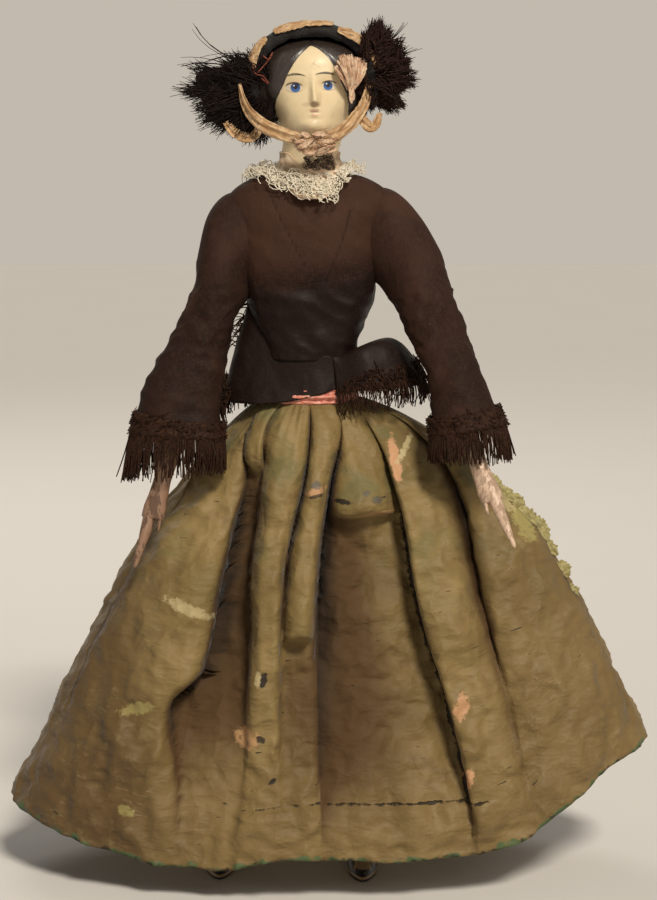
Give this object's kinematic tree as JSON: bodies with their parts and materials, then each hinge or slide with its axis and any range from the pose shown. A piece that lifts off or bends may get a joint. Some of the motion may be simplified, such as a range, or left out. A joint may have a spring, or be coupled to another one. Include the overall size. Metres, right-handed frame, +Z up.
{
  "type": "papier-mache doll",
  "caption": "Antique dressed doll with a moulded papier-mache shoulder head, stuffed kid body, carved wooden hands and feet, fringed jacket, full gathered skirt and ribbon-wound headdress.",
  "frame": {"origin": "centre of the bounding box footprint, at the height of the soles", "axes": "+Z up the standing doll, -Y the way the face looks, +X the doll's own left side"},
  "size_m": [0.2382, 0.1099, 0.3144],
  "materials": {
    "papier_mache": "painted and varnished papier-mache, yellowed and crackled",
    "kid_leather": "thin cream kid leather",
    "sawdust": "packed sawdust",
    "painted_wood": "carved wood with worn flesh paint and painted shoes",
    "paper_strip": "glued coloured paper strip",
    "petticoat_cotton": "plain woven cotton",
    "olive_silk": "worn and split olive silk",
    "sash_ribbon": "faded coral silk ribbon",
    "brown_silk": "dark brown silk",
    "brown_fringe": "dark brown silk thread fringe on a braid heading",
    "cream_ribbon": "yellowed cream silk ribbon",
    "cream_cloth": "folded cream muslin",
    "white_lace": "torn off-white lace",
    "black_net": "black net over padding",
    "dark_plume": "frayed dark plume strands"
  },
  "bodies": {
    "figure": {"brim_roll": "black_net", "cap": "black_net", "chin_bow": "cream_ribbon", "chin_ribbon": "cream_ribbon", "flap_fringe_back": "brown_fringe", "flap_fringe_left": "brown_fringe", "flap_fringe_right": "brown_fringe", "jacket_bodice": "brown_silk", "jacket_flap_back": "brown_silk", "jacket_flap_left": "brown_silk", "jacket_flap_right": "brown_silk", "lace_collar": "white_lace", "neck_cloth": "cream_cloth", "petticoat": "petticoat_cotton", "petticoat_band": "petticoat_cotton", "ribbon_loop_left": "cream_ribbon", "ribbon_loop_right": "cream_ribbon", "roll_ribbon_left": "cream_ribbon", "roll_ribbon_right": "cream_ribbon", "roll_ribbon_top": "cream_ribbon", "rosette": "cream_ribbon", "sash": "sash_ribbon", "shoulder_head": "papier_mache", "side_tuft_left": "dark_plume", "side_tuft_right": "dark_plume", "skirt": "olive_silk", "skirt_band": "olive_silk", "torso_skin": "kid_leather", "torso_stuffing": "sawdust"},
    "arm_right": {"upper_arm_skin_right": "kid_leather", "upper_arm_stuffing_right": "sawdust", "forearm_right": "painted_wood", "elbow_band_right": "paper_strip", "sleeve_right": "brown_silk", "sleeve_fringe_right": "brown_fringe"},
    "arm_left": {"upper_arm_skin_left": "kid_leather", "upper_arm_stuffing_left": "sawdust", "forearm_left": "painted_wood", "elbow_band_left": "paper_strip", "sleeve_left": "brown_silk", "sleeve_fringe_left": "brown_fringe"},
    "leg_right": {"thigh_skin_right": "kid_leather", "thigh_stuffing_right": "sawdust", "lower_leg_right": "painted_wood", "knee_band_right": "paper_strip"},
    "leg_left": {"thigh_skin_left": "kid_leather", "thigh_stuffing_left": "sawdust", "lower_leg_left": "painted_wood", "knee_band_left": "paper_strip"}
  },
  "joints": [
    {"name": "shoulder_swing_right", "type": "hinge", "parent": "figure", "child": "arm_right", "pos_m": [-0.038, 0.0033, 0.236], "axis": [-1, 0, 0], "range_deg": [0, 70]},
    {"name": "shoulder_swing_left", "type": "hinge", "parent": "figure", "child": "arm_left", "pos_m": [0.024, 0.0033, 0.236], "axis": [-1, 0, 0], "range_deg": [0, 60]},
    {"name": "hip_swing_right", "type": "hinge", "parent": "figure", "child": "leg_right", "pos_m": [-0.0175, 0.0033, 0.154], "axis": [-1, 0, 0], "range_deg": [-10, 10]},
    {"name": "hip_swing_left", "type": "hinge", "parent": "figure", "child": "leg_left", "pos_m": [0.0035, 0.0033, 0.154], "axis": [-1, 0, 0], "range_deg": [-10, 10]}
  ]
}
